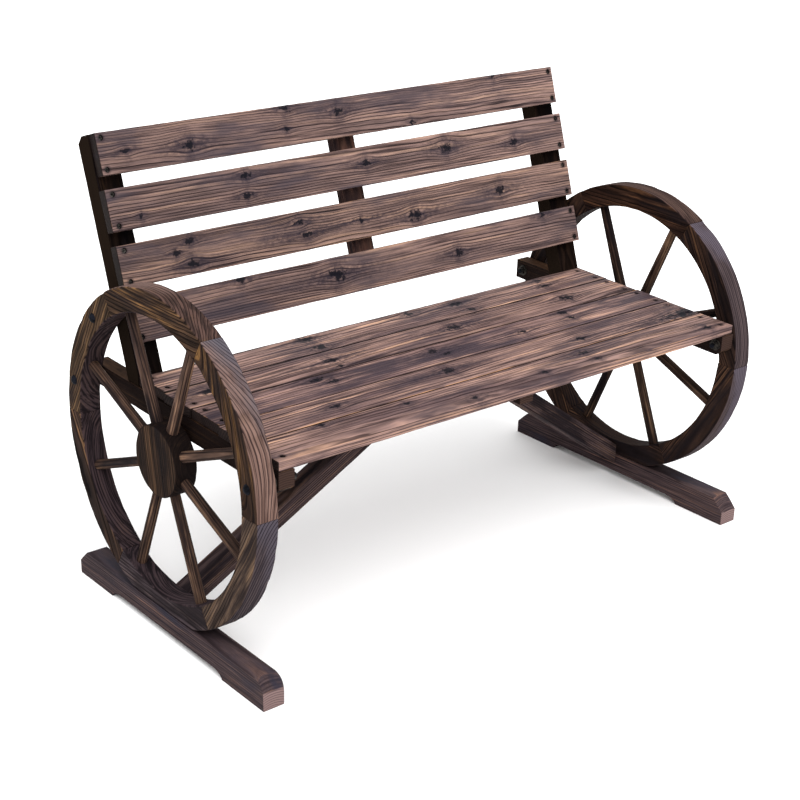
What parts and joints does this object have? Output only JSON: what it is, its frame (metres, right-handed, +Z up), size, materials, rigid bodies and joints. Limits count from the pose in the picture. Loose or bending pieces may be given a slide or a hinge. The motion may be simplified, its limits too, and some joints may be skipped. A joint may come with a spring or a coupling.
{
  "type": "wagon wheel bench",
  "caption": "Slatted wooden garden bench with spoked wagon wheels on floor skids as its sides, a near-level seat, a raked slatted back and diagonal braces below",
  "frame": {"origin": "on the floor, in the middle of the bench's footprint", "axes": "+X along the bench to the right as seen from the front, -Y to the front where the sitter's legs are, +Z up"},
  "size_m": [1.0642, 0.5456, 0.7493],
  "materials": {
    "skid_wood": "scorched fir, brushed, nearly black on top and brown on the sides",
    "felloe_wood": "scorched fir with light brown ridges and dark grain lines, dark on the inner face",
    "spoke_wood": "scorched and turned fir, golden brown with black streaks",
    "hub_wood": "scorched fir with upright brown and dark stripes",
    "rail_wood": "scorched fir, dark brown",
    "upright_wood": "scorched fir, brown with dark knots",
    "brace_wood": "scorched fir, dark, with light worn edges",
    "seat_wood": "brushed scorched fir, reddish brown with blue-black knots and light worn edges",
    "back_wood": "brushed scorched fir, reddish brown with dark scorch streaks and light worn edges",
    "dowel_wood": "plain hardwood dowel, unscorched",
    "screw_metal": "black coated steel, slightly glossy",
    "bolt_metal": "blue-black coated steel, worn on the crown",
    "nut_metal": "zinc plated steel, dulled"
  },
  "bodies": {
    "root": {"left_skid": "skid_wood", "right_skid": "skid_wood", "left_felloe_1": "felloe_wood", "left_felloe_2": "felloe_wood", "left_felloe_3": "felloe_wood", "left_felloe_4": "felloe_wood", "left_felloe_5": "felloe_wood", "left_felloe_6": "felloe_wood", "right_felloe_1": "felloe_wood", "right_felloe_2": "felloe_wood", "right_felloe_3": "felloe_wood", "right_felloe_4": "felloe_wood", "right_felloe_5": "felloe_wood", "right_felloe_6": "felloe_wood", "left_spoke_1": "spoke_wood", "left_spoke_2": "spoke_wood", "left_spoke_3": "spoke_wood", "left_spoke_4": "spoke_wood", "left_spoke_5": "spoke_wood", "left_spoke_6": "spoke_wood", "left_spoke_7": "spoke_wood", "left_spoke_8": "spoke_wood", "right_spoke_1": "spoke_wood", "right_spoke_2": "spoke_wood", "right_spoke_3": "spoke_wood", "right_spoke_4": "spoke_wood", "right_spoke_5": "spoke_wood", "right_spoke_6": "spoke_wood", "right_spoke_7": "spoke_wood", "right_spoke_8": "spoke_wood", "left_hub": "hub_wood", "right_hub": "hub_wood", "left_rail": "rail_wood", "right_rail": "rail_wood", "left_upright": "upright_wood", "right_upright": "upright_wood", "left_brace": "brace_wood", "right_brace": "brace_wood", "seat_slat_1": "seat_wood", "seat_slat_2": "seat_wood", "seat_slat_3": "seat_wood", "seat_slat_4": "seat_wood", "seat_slat_5": "seat_wood", "back_slat_1": "back_wood", "back_slat_2": "back_wood", "back_slat_3": "back_wood", "back_slat_4": "back_wood", "centre_bearer": "rail_wood", "centre_batten": "upright_wood", "felloe_dowels": "dowel_wood", "seat_screws": "screw_metal", "back_screws": "screw_metal", "frame_screws": "screw_metal", "long_screws": "screw_metal", "rim_bolts": "bolt_metal", "rim_nuts": "nut_metal", "rim_washers": "nut_metal"}
  },
  "joints": []
}
